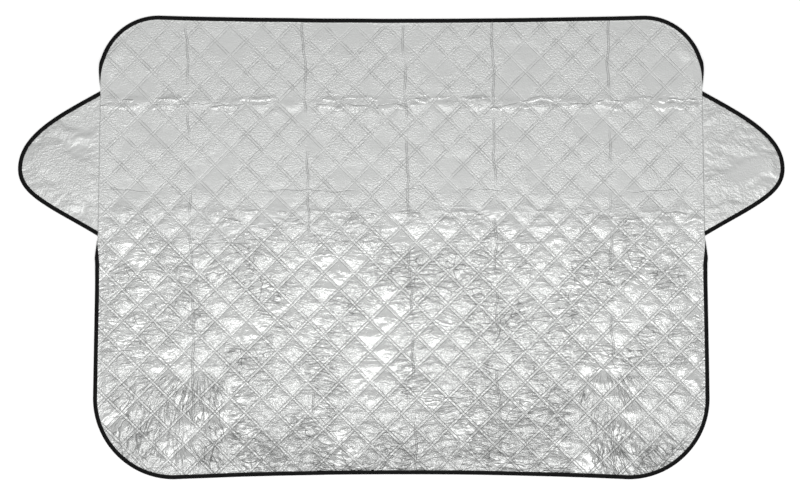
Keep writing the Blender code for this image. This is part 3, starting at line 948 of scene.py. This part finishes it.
class QuiltGrid:
    """The quilted field: a grid on the diagonals with lines of points on every weld, kept where it lies
    well within the field's edge."""

    keep_clear = 0.0035

    def __init__(self, film, loop):
        side = film.pitch / math.sqrt(2)
        steps = film.steps
        across = film.weld_gap / 2 + (side - film.weld_gap) * np.arange(steps + 1) / steps
        reach = math.ceil((abs(loop).sum(axis=1).max() + abs(film.middle)) / film.pitch) + 1
        squares = np.arange(-reach, reach)
        self.line = (squares[:, None] * side + across).ravel()
        self.share = np.tile(np.arange(steps + 1) / steps, len(squares))
        u, v = np.meshgrid(self.line, self.line, indexing="ij")
        x = (u + v) / math.sqrt(2)
        y = (v - u) / math.sqrt(2) + film.middle
        near = (abs(x) < abs(loop[:, 0]).max()) & (abs(y) < abs(loop[:, 1]).max())
        within = np.zeros(x.shape, bool)
        within[near] = inside(x[near], y[near], loop)
        away, _ = loop_distance(x[within], y[within], loop)
        within[within] = away > self.keep_clear
        self.quads = within[:-1, :-1] & within[1:, :-1] & within[1:, 1:] & within[:-1, 1:]
        used = np.zeros(x.shape, bool)
        for i, j in ((0, 0), (1, 0), (1, 1), (0, 1)):
            used[i : used.shape[0] - 1 + i, j : used.shape[1] - 1 + j] |= self.quads
        self.number = np.full(x.shape, -1)
        self.number[used] = np.arange(used.sum())
        i, j = np.nonzero(self.quads)
        n = self.number
        self.faces = np.stack([n[i, j], n[i + 1, j], n[i + 1, j + 1], n[i, j + 1]], axis=1)
        self.x, self.y = x[used], y[used]
        self.depth, _ = loop_distance(self.x, self.y, loop)
        i, j = np.nonzero(used)
        self.share_u, self.share_v = self.share[i], self.share[j]
        self.square = np.stack([i // (steps + 1), j // (steps + 1)], axis=1)
        middle = (squares + 0.5) * side
        mid_u, mid_v = middle[self.square[:, 0]], middle[self.square[:, 1]]
        self.mid_x = (mid_u + mid_v) / math.sqrt(2)
        self.mid_y = (mid_v - mid_u) / math.sqrt(2) + film.middle
        self.welded = (self.share_u % 1 == 0) | (self.share_v % 1 == 0)
        self.middle = film.middle

    def rim_edges(self):
        """The outer edges of the kept quads."""
        pairs = np.concatenate([self.faces[:, [k, (k + 1) % 4]] for k in range(4)])
        pairs = np.sort(pairs, axis=1)
        edges, count = np.unique(pairs, axis=0, return_counts=True)
        return edges[count == 1]

    def covers(self, x, y):
        """Whether a point lies on a kept quad."""
        u = (x - (y - self.middle)) / math.sqrt(2)
        v = (x + (y - self.middle)) / math.sqrt(2)
        i = np.clip(np.searchsorted(self.line, u) - 1, 0, len(self.line) - 2)
        j = np.clip(np.searchsorted(self.line, v) - 1, 0, len(self.line) - 2)
        return self.quads[i, j]


def crushed_at(x, y):
    """How crushed the film is, from nearly smooth by the roof edge to fully crushed below the middle."""
    patches = layered_noise(x * 6, y * 6, 11)
    share = mix(0.10, 1.0, smooth(-y + 0.07 * patches, -0.16, 0.02))
    bands = np.exp(-(((y - 0.372 + 0.012 * noise_at(x * 9, y * 0, 3)) / 0.016) ** 2))
    bands += np.exp(-(((y - 0.085 + 0.02 * noise_at(x * 7, y * 0, 5)) / 0.03) ** 2)) * 0.5
    bands += smooth(-y, 0.42, 0.56) * 0.6
    return np.clip(share + 0.8 * bands, 0, 1.7)


def raised_at(cover, x, y):
    """How high the film is lifted beside a turned edge; further in it lies down on the floor."""
    edge = seam_edge(cover, y)
    depth = edge.point[:, 0] - abs(x) - (edge.width - edge.outset * edge.turned)
    return 2 * edge.radius * edge.lift * (1 - smooth(depth, HEM_REACH, SAG_REACH))


def crumple_quilt(film, grid, edge):
    """The height of every point of the grid above its weld lines, and its shift in the plane."""
    squares, inverse = np.unique(grid.square, axis=0, return_inverse=True)
    inverse = inverse.ravel()
    random = np.random.default_rng(8)
    lean = random.normal(0, 0.42, len(squares))[inverse]
    amount = random.uniform(0.6, 1.4, len(squares))[inverse]
    crushed = crushed_at(grid.mid_x, grid.mid_y)

    # The wrinkles run across the cover; by its edge they run straight in from the tape
    middle = np.column_stack([grid.mid_x, grid.mid_y])
    from_edge, nearest = loop_distance(*middle.T, edge.point)
    by_edge = 1 - smooth(from_edge, 0.04, 0.11)
    outward = edge.outward[nearest]
    angle = np.arctan(outward[:, 1] / np.where(abs(outward[:, 0]) < 1e-6, 1e-6, outward[:, 0]))
    folds = angle * by_edge + lean
    cos, sin = np.cos(folds), np.sin(folds)
    x, y = grid.x - grid.mid_x, grid.y - grid.mid_y
    down = (-sin * x + cos * y) * (1 + film.slack * amount * crushed)
    over = (cos * x + sin * y) * (1 + film.slack * 0.3 * amount * crushed * (1 + by_edge))
    loose_x = grid.mid_x + cos * over - sin * down
    loose_y = grid.mid_y + sin * over + cos * down
    free = ~grid.welded
    seed_z = np.where(free, 0.001 + random.normal(0, 0.0006, len(x)), 0)
    counts = np.bincount(grid.faces.ravel(), minlength=len(x))
    pinned = grid.welded | (counts < 4)
    laid = np.column_stack([grid.x, grid.y, np.where(free, 0.001, 0)])
    loose = np.column_stack([loose_x, loose_y, seed_z])
    return crumpled(loose, laid, grid.faces, pinned, pressure=8)


def panel_rim(cover, edge):
    """Sections of the panel's rim: from its quilting over the pressed edge into the tape, and back below
    it to the flat underside."""
    margin = mix(OPEN_MARGIN, TURNED_MARGIN, edge.lift)
    shoulder = mix(-0.0008, -edge.arc, edge.lift)
    outs = [shoulder * (1 - step / 7) for step in range(7)]
    outs += [np.full(len(edge), out) for out in (0.0, 0.004, edge.width - 0.0008)]
    rows = [edge.place(-margin, cover.film.weld_height + 2 * edge.radius * edge.lift)]
    for out in outs:
        thinned = ramp(out, -edge.arc * 0.45, 0) * (edge.turned >= 1)
        thin = mix(0, edge.half_tongue * 2 - SEAM_PLY, thinned)
        rows.append(edge.folded(out, edge.half_tongue - thin))
    rows += [edge.folded(out, -edge.half_tongue) for out in reversed(outs)]
    hem_rise = 2 * edge.radius + cover.tape.thickness + edge.clearance
    rows.append(edge.place(-HEM_REACH, hem_rise * edge.lift))
    rows.append(edge.place(-SAG_REACH, 0))
    return np.stack(rows, axis=1)


def quilted_field(cover, grid, edge):
    """Where every point of the quilting lies: pressed down on the welds, and puffed up between them as
    far as it is crushed there. By the edge it is held lower."""
    film = cover.film
    shape = crumple_quilt(film, grid, edge)
    dome = (4 * grid.share_u * (1 - grid.share_u) * 4 * grid.share_v * (1 - grid.share_v)) ** 0.85
    depth = np.clip(crushed_at(grid.x, grid.y), 0, 1)
    inner = smooth(grid.depth, 0, 0.02)
    rise = film.puff * mix(0.03, 1.0, depth) * smooth(grid.depth, 0, 0.03)
    z = shape[:, 2] * mix(0.12, 0.7, depth) * mix(0.5, 1.0, inner)
    z = film.weld_height + dome * rise + z
    z = np.where(grid.welded, film.weld_height, np.maximum(z, film.weld_height - 0.0008))
    z = z + fold_marks(grid.x, grid.y) * inner
    z = z + raised_at(cover, grid.x, grid.y)
    return np.column_stack([shape[:, :2], z])


def underside_points(bed):
    """Points spread over the flat underside, clear of its edge."""
    x = np.arange(-0.75, 0.76, UNDERSIDE_STEP)
    y = np.arange(-0.55, 0.56, UNDERSIDE_STEP)
    spread = np.stack(np.meshgrid(x, y), axis=-1).reshape(-1, 2)
    spread = spread[inside(spread[:, 0], spread[:, 1], bed)]
    return spread[loop_distance(spread[:, 0], spread[:, 1], bed)[0] > 0.02]


class FROSTCOVER_OT_quilted_panel(bpy.types.Operator):
    """Makes the quilted film panel: puffed squares between weld lines, and the pressed edge"""

    bl_idname = "frostcover.quilted_panel"
    bl_label = "Quilted panel"

    def execute(self, context):
        cover = context.scene.frost_cover
        film = cover.film
        edge = panel_edge(cover, EDGE_STEP)
        sections = panel_rim(cover, edge)
        loop = sections[:, 0, :2]
        grid = QuiltGrid(film, loop)
        field = quilted_field(cover, grid, edge)

        # The rim, the quilting, the ring between them, and the flat underside
        numbers = np.arange(sections.shape[0] * sections.shape[1]).reshape(sections.shape[:2])
        shift = numbers.size
        faces = [*loft(numbers, closed=True), *(grid.faces + shift)]
        flat = np.column_stack([grid.x, grid.y])
        used, renumbered = np.unique(grid.rim_edges(), return_inverse=True)
        ring = fill(loop, flat[used], renumbered.reshape(-1, 2), grid.covers)
        faces += [*np.concatenate([numbers[:, 0], used + shift])[ring]]
        bed = sections[:, -1, :2]
        spread = underside_points(bed)
        below = np.arange(len(spread)) + shift + len(field)
        faces += [*np.concatenate([numbers[:, -1], below])[fill(bed, spread)]]
        floor = np.column_stack([spread, np.zeros(len(spread))])
        points = np.concatenate([sections.reshape(-1, 3), field, floor])
        look = shared("quilted_film", film_material, film, True)
        panel = new_piece("quilted_film_panel", points, faces, [look])
        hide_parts("quilted_panel")
        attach(panel, "root")
        self.report({"INFO"}, f"{len(edge)} places along the edge, {len(grid.faces)} quads in the quilting")
        return {"FINISHED"}


def fold_marks(x, y):
    """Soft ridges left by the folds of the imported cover, which cross the quilting."""
    height = np.zeros(len(x))
    for number, (top, low) in enumerate(FOLDS_DOWN):
        line = mix(top, low, (FOLD_LENGTH / 2 - y) / FOLD_LENGTH)
        shown = np.clip(0.5 + noise_at(y * 9, x * 0, 50 + number), 0, 1)
        height += 0.0006 * shown * np.exp(-(((x - line) / 0.006) ** 2))
    for number, middle in enumerate(GLINT_HEIGHTS):
        line = middle + 0.012 * layered_noise(x * 12, y * 0, 60 + number)
        shown = np.clip(0.3 + 1.3 * noise_at(x * 10, y * 0, 70 + number), 0, 1)
        height += 0.0012 * shown * np.exp(-(((y - line) / 0.006) ** 2))
    return height


class FROSTCOVER_OT_side_flaps(bpy.types.Operator):
    """Makes the two side flaps of plain crinkled film"""

    bl_idname = "frostcover.side_flaps"
    bl_label = "Side flaps"

    def execute(self, context):
        cover = context.scene.frost_cover
        panel = cover.panel
        edge = flap_edge(cover, EDGE_STEP)
        rim = edge.place(0.006, edge.half)
        heights = np.linspace(panel.seam_top - 0.005, panel.seam_bottom + 0.005, 70)
        root = seam_edge(cover, heights).place(-0.009, 0.0012)
        loop = np.concatenate([rim, root])
        x = np.arange(0.77, 1.0, FLAP_STEP)
        y = np.arange(0.02, 0.42, FLAP_STEP)
        spread = np.stack(np.meshgrid(x, y, indexing="ij"), axis=-1).reshape(-1, 2)
        spread = spread[inside(spread[:, 0], spread[:, 1], loop[:, :2])]
        away, _ = loop_distance(spread[:, 0], spread[:, 1], loop[:, :2])
        spread = spread[away > 0.003]
        faces = fill(loop[:, :2], spread)
        flat = np.concatenate([loop[:, :2], spread])
        seam_x = seam_edge(cover, flat[:, 1]).place(flap_start(edge), 0)[:, 0]
        from_seam = flat[:, 0] - seam_x
        from_tape, _ = loop_distance(flat[:, 0], flat[:, 1], rim[:, :2])
        held = (np.arange(len(flat)) < len(loop)) | (from_seam < 0.002) | (from_tape < 0.007)
        base = mix(0.0017, 0.0021, smooth(from_seam, 0.0, 0.03))
        for side, word in ((-1, "left"), (1, "right")):
            seed = 5 + side
            random = np.random.default_rng(seed)
            middle = np.array([0.86, 0.21])
            slack = 0.011 * (1 + 0.5 * layered_noise(flat[:, 0] * 20, flat[:, 1] * 20, seed + 90))
            wave = layered_noise(flat[:, 0] * 55, flat[:, 1] * 70, seed)
            loose = middle + (flat - middle) * (1 + slack[:, None] * (1.0, 1.6))
            start = np.column_stack([loose, random.normal(0, 0.0004, len(flat)) * ~held])
            laid = np.column_stack([flat, np.zeros(len(flat))])
            z = crumpled(start, laid, faces, held, pressure=1.0)[:, 2]
            z = base + np.clip(z * 0.8 + 0.0006 * ~held, -0.0006, 0.004)
            points = np.column_stack([flat, np.maximum(z, 0.0011)])
            look = shared("flap_film", film_material, cover.film, False)
            flap = new_piece(f"{word}_flap_film", points, faces, [look], side)
            thicken(flap, FLAP_THICKNESS)
            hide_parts(f"{word}_flap")
            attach(flap, "root")
        return {"FINISHED"}


def thicken(piece, thickness):
    """Gives a sheet its thickness below its face."""
    select_only(piece)
    up = sum(polygon.normal.z for polygon in piece.data.polygons) > 0
    if not up:
        piece.data.flip_normals()
    shell = piece.modifiers.new("Thickness", "SOLIDIFY")
    shell.thickness = thickness
    shell.offset = -1
    bpy.ops.object.modifier_apply(modifier=shell.name)
    piece.select_set(False)


# The tape's section: how far out its points lie on each flat side, and how far its upper face swells at
# each of them and at the nose. The stitches lie in the dip
TAPE_OUTS = (-0.0008, 0.0006, 0.0022, 0.0036, 0.0050, 0.0064, 0.0078)
TAPE_SWELLS = (-0.00022, -0.00004, -0.00022, 0.0, 0.00010, 0.00012, 0.00006, 0.0)
STITCH_OUT, STITCH_DIP = 0.0022, 0.00022
NOSE_STEPS = 6

# One stitch, ring by ring from end to end, as shares of half the thread: how far it sinks in, and its width
STITCH_SINKS = (0.9, 0.35, 0.1, 0.1, 0.35, 0.9)
STITCH_WIDTHS = (0.25, 0.85, 1.0, 1.0, 0.85, 0.25)
THREAD_SIDES = 5


def tape_section(edge):
    """The section of the folded tape: its outer face from the upper inner edge round the nose to the
    lower one, and its inner face back. Each place is a distance out and a height in the sandwich."""
    half, inner = edge.half, edge.half_inside
    outs = [*TAPE_OUTS, edge.width - half]
    over = [(out, half + swell) for out, swell in zip(outs, TAPE_SWELLS)]
    nose = []
    for step in range(1, NOSE_STEPS):
        angle = math.pi / 2 - math.pi * step / NOSE_STEPS
        nose.append((edge.width - half + half * math.cos(angle), half * math.sin(angle)))
    below = [(out, -half) for out in reversed(outs)]
    within = [(out, inner) for out in TAPE_OUTS] + [(edge.width - 0.0008, inner / 2)]
    back = [(out, -up) for out, up in within] + within[::-1]
    return over + nose + below, back


def tape_piece(cover, edge, name, closed, side=1):
    """One length of folded tape along an edge, with its length and width in metres as its UV map."""
    outer, inner = tape_section(edge)
    section = outer + inner
    travelled = edge.travelled(closed)
    turns = travelled[:-1]
    wander = 0.00035 * noise_at(turns * 12, turns * 0, 31) * np.clip(1 - edge.turned * 3, 0, 1)
    swell = 0.00012 * noise_at(turns * 80, turns * 0, 33)
    sections = []
    for number, (out, up) in enumerate(section):
        bulge = swell if number < len(outer) and up > 0 else 0
        sections.append(edge.folded(out + wander * (1 - out / edge.width / 2), up + bulge))
    sections = np.stack(sections, axis=1)
    sections[:, :, 2] = np.maximum(sections[:, :, 2], 0)
    numbers = np.arange(sections.shape[0] * sections.shape[1]).reshape(sections.shape[:2])
    ring = np.concatenate([numbers, numbers[:, :1]], axis=1)
    faces = [*loft(ring, closed)]
    across = np.cumsum([0] + [math.dist(a, b) for a, b in zip(section, section[1:] + section[:1])])
    spans = len(edge) if closed else len(edge) - 1
    uv = np.empty((spans, len(section), 4, 2))
    uv[:, :, (0, 3), 0] = travelled[:spans, None, None]
    uv[:, :, (1, 2), 0] = travelled[1 : spans + 1, None, None]
    uv[:, :, (0, 1), 1] = across[:-1, None]
    uv[:, :, (2, 3), 1] = across[1:, None]
    corners = [*uv.reshape(-1, 4, 2)]
    if not closed:
        for end in (0, -1):
            for face in cap_faces(len(TAPE_OUTS) + 1, len(outer), len(inner)):
                faces.append(numbers[end][list(face)])
                corners.append(np.zeros((len(face), 2)))
    piece = new_piece(
        name, sections.reshape(-1, 3), faces, [shared("black_binding_tape", tape_material, cover.tape)], side
    )
    lay_uv(piece, faces, corners)
    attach(piece, "root")
    return piece, float(travelled[spans])


def cap_faces(leg, outer, inner):
    """Faces that close the cut end of a tape, between its outer and its inner face, as places in the
    section. A leg is the number of places on one flat side."""
    width = outer + inner
    faces = []
    for i in range(leg - 1):
        faces.append((i, i + 1, width - 2 - i, width - 1 - i))
        faces.append((outer - 1 - i, outer - 2 - i, outer + i + 1, outer + i))
    top, low, middle = width - leg, outer + leg - 1, outer // 2
    for i in range(leg - 1, outer - leg):
        faces.append((i, i + 1, top if i < middle else low))
    faces.append((middle, low, top))
    return faces


def lay_uv(piece, faces, corners):
    """Gives each corner its place on the tape, whatever order the mesh keeps its corners in."""
    layer = piece.data.uv_layers.new(name="Tape")
    for polygon, face, places in zip(piece.data.polygons, faces, corners):
        at = {int(vertex): place for vertex, place in zip(face, places)}
        for loop in polygon.loop_indices:
            layer.data[loop].uv = at[piece.data.loops[loop].vertex_index]


def stitches(cover, edge, name, closed, side=1):
    """A row of short threads along the tape, on both of its faces."""
    tape = cover.tape
    travelled = edge.travelled(closed)
    total = travelled[-1] if closed else travelled[-2]
    count = int(total / tape.stitch)
    rings, sides = len(STITCH_WIDTHS), THREAD_SIDES
    fine = finer(cover, edge, np.linspace(0, total, count * rings, endpoint=False), travelled, closed)
    thick = tape.thread / 2
    sink = np.tile(STITCH_SINKS, count) * thick
    width = np.tile(STITCH_WIDTHS, count)
    points, faces = [], []
    for level in (1, -1):
        rows = []
        for number in range(sides):
            turn = 2 * math.pi * number / sides
            out = STITCH_OUT + thick * width * math.cos(turn)
            face = edge.half - STITCH_DIP * (level > 0)
            rows.append(fine.folded(out, level * (face + thick * (0.6 + width * math.sin(turn)) - sink)))
        for stitch in np.stack(rows, axis=1).reshape(count, rings, sides, 3):
            start = len(points)
            points += [*stitch.reshape(-1, 3)]
            for i in range(rings - 1):
                for j in range(sides):
                    a, b = start + i * sides + j, start + i * sides + (j + 1) % sides
                    faces.append((a, b, b + sides, a + sides))
            last = start + (rings - 1) * sides
            faces += [tuple(range(start, start + sides)), tuple(range(last, last + sides))]
    points = np.array(points)
    points[:, 2] = np.maximum(points[:, 2], 0.0)
    piece = new_piece(name, points, faces, [shared("black_thread", thread_material)], side)
    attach(piece, "root")
    return piece


def finer(cover, edge, places, travelled, closed):
    """The same edge at other places along it."""
    ends = np.concatenate([edge.point, edge.point[:1]]) if closed else edge.point
    ways = np.concatenate([edge.outward, edge.outward[:1]]) if closed else edge.outward
    at = travelled[: len(ends)]
    point = np.column_stack([np.interp(places, at, ends[:, k]) for k in (0, 1)])
    outward = np.column_stack([np.interp(places, at, ways[:, k]) for k in (0, 1)])
    return Edge(cover, point, outward, upright=not closed)


class FROSTCOVER_OT_bindings(bpy.types.Operator):
    """Makes the folded tape over every edge, and its stitching"""

    bl_idname = "frostcover.bindings"
    bl_label = "Bindings and stitching"

    def execute(self, context):
        cover = context.scene.frost_cover
        runs = [("panel", panel_edge(cover, EDGE_STEP), True, 1)]
        flap = flap_edge(cover, FLAP_EDGE_STEP)
        runs += [(f"{word}_flap", flap, False, side) for side, word in ((-1, "left"), (1, "right"))]
        for word, edge, closed, side in runs:
            tape, length = tape_piece(cover, edge, f"{word}_folded_tape", closed, side)
            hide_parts(f"{word}_binding")
            thread = stitches(cover, edge, f"{word}_stitching", closed, side)
        return {"FINISHED"}


class FROSTCOVER_OT_stage(bpy.types.Operator):
    """Sets the camera, the pale floor and the soft light"""

    bl_idname = "frostcover.stage"
    bl_label = "Stage"

    def execute(self, context):
        stage = context.scene.frost_cover.stage
        self.camera(context, stage)
        self.floor(stage)
        self.lamps()
        self.world(context.scene)
        context.scene.view_settings.view_transform = "Standard"
        return {"FINISHED"}

    def camera(self, context, stage):
        data = bpy.data.cameras.new("camera")
        data.lens = stage.lens
        data.sensor_width = 36
        data.clip_end = 200
        camera = bpy.data.objects.new("camera", data)
        camera.location = (*stage.aim, stage.view_width * stage.lens / data.sensor_width)
        context.scene.collection.objects.link(camera)
        context.scene.camera = camera

    def floor(self, stage):
        bpy.ops.object.select_all(action="DESELECT")
        bpy.ops.mesh.primitive_plane_add(size=stage.floor, location=(0, 0, 0))
        floor = bpy.context.object
        floor.name = "floor"
        look, net, shader, position = new_material("pale_floor")
        grain = net.noise(position, 40.0, 3.0)
        net.put(shader, "Base Color", blend_colours(net, grain, (0.88, 0.88, 0.88), (0.91, 0.91, 0.91)))
        shader.inputs["Roughness"].default_value = 0.8
        rays = net.add("ShaderNodeLightPath").outputs
        seen = net.math("MAXIMUM", rays["Is Camera Ray"], rays["Is Glossy Ray"])
        seen = net.math("MAXIMUM", seen, rays["Is Transmission Ray"])
        glow = net.math("MULTIPLY", seen, 0.35)
        colour = net.add("ShaderNodeCombineColor", Red=glow, Green=glow, Blue=glow)
        net.put(shader, "Emission Color", colour.outputs[0])
        shader.inputs["Emission Strength"].default_value = 1.0
        floor.data.materials.append(look)
        floor.select_set(False)

    def lamps(self):
        """One large soft box above the lower edge, which the puffs' lower slopes mirror."""
        data = bpy.data.lights.new("soft_box", "AREA")
        data.shape = "RECTANGLE"
        data.size, data.size_y = 4.2, 1.5
        data.energy = 1.5 * math.pi * data.size * data.size_y
        before, above = 1.75, 3.2
        lamp = bpy.data.objects.new("soft_box", data)
        lamp.location = (0, -before, above)
        lamp.rotation_euler = (math.atan2(before, above), 0, 0)
        bpy.context.scene.collection.objects.link(lamp)

    def world(self, scene):
        """A plain studio: bright overhead, in front and at the horizon, dimmer between and behind."""
        world = bpy.data.worlds.new("studio")
        world.use_nodes = True
        net = Net(world.node_tree)
        way = net.add("ShaderNodeTexCoord").outputs["Generated"]
        axes = net.add("ShaderNodeSeparateXYZ", Vector=way).outputs
        low = net.span(axes["Z"], 0.15, 0.88, 0.50, 0.0)
        behind = net.span(axes["Y"], 0.52, 0.92, 0.0, 0.45)
        front = net.span(axes["Y"], -0.45, -0.10, 0.15, 0.0)
        above = net.span(axes["Z"], 0.05, 0.45, 0.2, 1.0)
        dim = net.math("MULTIPLY", net.math("MAXIMUM", low, behind), above)
        level = net.math("SUBTRACT", net.math("ADD", 0.75, front), dim)
        background = world.node_tree.nodes["Background"]
        net.put(background, "Strength", level)
        background.inputs["Color"].default_value = (1, 1, 1, 1)
        scene.world = world


class FROSTCOVER_PT_parts(bpy.types.Panel):
    """Lists the pieces of the cover"""

    bl_idname = "FROSTCOVER_PT_parts"
    bl_label = "Frost cover"
    bl_space_type = "VIEW_3D"
    bl_region_type = "UI"
    bl_category = "Frost cover"

    def draw(self, context):
        cover = context.scene.frost_cover
        for sizes in (cover.panel, cover.flap, cover.tape, cover.film, cover.stage):
            box = self.layout.box()
            for name in sizes.bl_rna.properties.keys():
                if name not in ("rna_type", "name"):
                    box.prop(sizes, name)
        for piece in OPERATORS:
            self.layout.operator(piece.bl_idname)


SIZES = (PanelSizes, FlapSizes, TapeSizes, FilmSizes, StageSizes, FrostCover)
OPERATORS = (
    FROSTCOVER_OT_stage,
    FROSTCOVER_OT_quilted_panel,
    FROSTCOVER_OT_side_flaps,
    FROSTCOVER_OT_bindings,
)


def register():
    for part in (*SIZES, *OPERATORS, FROSTCOVER_PT_parts):
        bpy.utils.register_class(part)
    bpy.types.Scene.frost_cover = PointerProperty(type=FrostCover)


def unregister():
    del bpy.types.Scene.frost_cover
    for part in reversed((*SIZES, *OPERATORS, FROSTCOVER_PT_parts)):
        bpy.utils.unregister_class(part)


def main():
    register()
    bpy.ops.frostcover.stage()
    bpy.ops.frostcover.quilted_panel()
    bpy.ops.frostcover.side_flaps()
    bpy.ops.frostcover.bindings()


if __name__ == "__main__":
    main()
